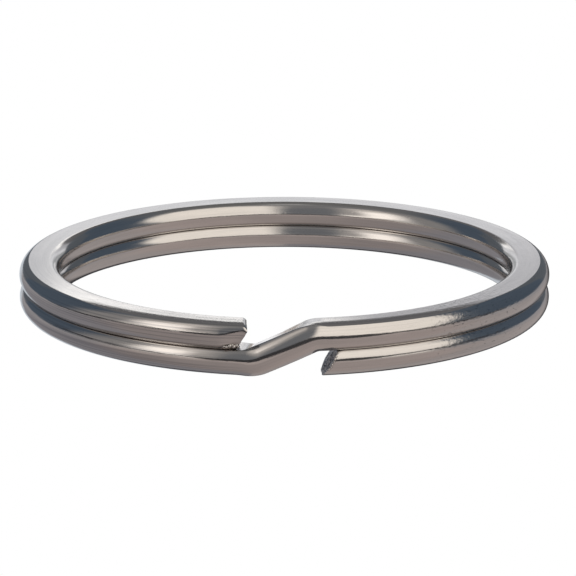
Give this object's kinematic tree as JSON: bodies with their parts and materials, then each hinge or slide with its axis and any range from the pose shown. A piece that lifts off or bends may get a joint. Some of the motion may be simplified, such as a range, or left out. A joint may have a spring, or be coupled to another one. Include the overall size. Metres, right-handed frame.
{
  "type": "split key ring",
  "caption": "Flat-wire split ring: one spring-steel wire wound into two touching laps with a Z-shaped crossover, whose free ends pry apart to let a key on.",
  "frame": {"origin": "on the ring's axis, in the plane of the lower flat that the ring rests on", "axes": "+Z along the ring's axis, up out of the upper lap; -Y towards the front, where the crossover and both free ends are; +X to the right"},
  "size_m": [0.03, 0.03, 0.0029],
  "materials": {
    "nickel_plated_wire": "polished nickel plating on flattened spring-steel wire, with fine draw lines along the wire and a rough sheared face at each free end"
  },
  "bodies": {
    "crossover": {"crossover_bend": "nickel_plated_wire", "upper_lap_right": "nickel_plated_wire", "lower_lap_left": "nickel_plated_wire"},
    "upper_back_right": {"upper_lap_back_right": "nickel_plated_wire"},
    "upper_back_left": {"upper_lap_back_left": "nickel_plated_wire"},
    "upper_left": {"upper_lap_left": "nickel_plated_wire"},
    "upper_end": {"upper_free_end": "nickel_plated_wire"},
    "lower_back_left": {"lower_lap_back_left": "nickel_plated_wire"},
    "lower_back_right": {"lower_lap_back_right": "nickel_plated_wire"},
    "lower_right": {"lower_lap_right": "nickel_plated_wire"},
    "lower_end": {"lower_free_end": "nickel_plated_wire"}
  },
  "joints": [
    {"name": "upper_end_opening", "type": "hinge", "parent": "crossover", "child": "upper_back_right", "pos_m": [0.01156, 0.00871, 0.00145], "axis": [-0.6018, 0.7986, 0], "range_deg": [0, 2.15], "stiffness_Nm_per_rad": 0.06},
    {"name": "upper_back_flexure", "type": "hinge", "parent": "upper_back_right", "child": "upper_back_left", "pos_m": [-0.00169, 0.01375, 0.00215], "axis": [-0.9998, -0.021, 0], "range_deg": [0, 2.49], "stiffness_Nm_per_rad": 0.04},
    {"name": "upper_left_flexure", "type": "hinge", "parent": "upper_back_left", "child": "upper_left", "pos_m": [-0.01275, 0.00541, 0.00215], "axis": [-0.8038, -0.5948, 0], "range_deg": [0, 1.84], "stiffness_Nm_per_rad": 0.02},
    {"name": "upper_end_flexure", "type": "hinge", "parent": "upper_left", "child": "upper_end", "pos_m": [-0.01106, -0.00834, 0.00215], "axis": [-0.4185, -0.9082, 0], "range_deg": [0, 0.7774], "stiffness_Nm_per_rad": 0.01},
    {"name": "lower_end_opening", "type": "hinge", "parent": "crossover", "child": "lower_back_left", "pos_m": [-0.01156, 0.00871, 0.0014], "axis": [0.6018, 0.7986, 0], "range_deg": [0, 2.15], "stiffness_Nm_per_rad": 0.06},
    {"name": "lower_back_flexure", "type": "hinge", "parent": "lower_back_left", "child": "lower_back_right", "pos_m": [0.00169, 0.01375, 0.0007], "axis": [0.9998, -0.021, 0], "range_deg": [0, 2.49], "stiffness_Nm_per_rad": 0.04},
    {"name": "lower_right_flexure", "type": "hinge", "parent": "lower_back_right", "child": "lower_right", "pos_m": [0.01275, 0.00541, 0.0007], "axis": [0.8038, -0.5948, 0], "range_deg": [0, 1.84], "stiffness_Nm_per_rad": 0.02},
    {"name": "lower_end_flexure", "type": "hinge", "parent": "lower_right", "child": "lower_end", "pos_m": [0.01106, -0.00834, 0.0007], "axis": [0.4185, -0.9082, 0], "range_deg": [0, 0.7774], "stiffness_Nm_per_rad": 0.01}
  ],
  "couplings": [
    {"joint": "upper_back_flexure", "follows": "upper_end_opening", "ratio": 1.1591},
    {"joint": "upper_left_flexure", "follows": "upper_end_opening", "ratio": 0.85737},
    {"joint": "upper_end_flexure", "follows": "upper_end_opening", "ratio": 0.36156},
    {"joint": "lower_back_flexure", "follows": "lower_end_opening", "ratio": 1.1591},
    {"joint": "lower_right_flexure", "follows": "lower_end_opening", "ratio": 0.85737},
    {"joint": "lower_end_flexure", "follows": "lower_end_opening", "ratio": 0.36156}
  ]
}
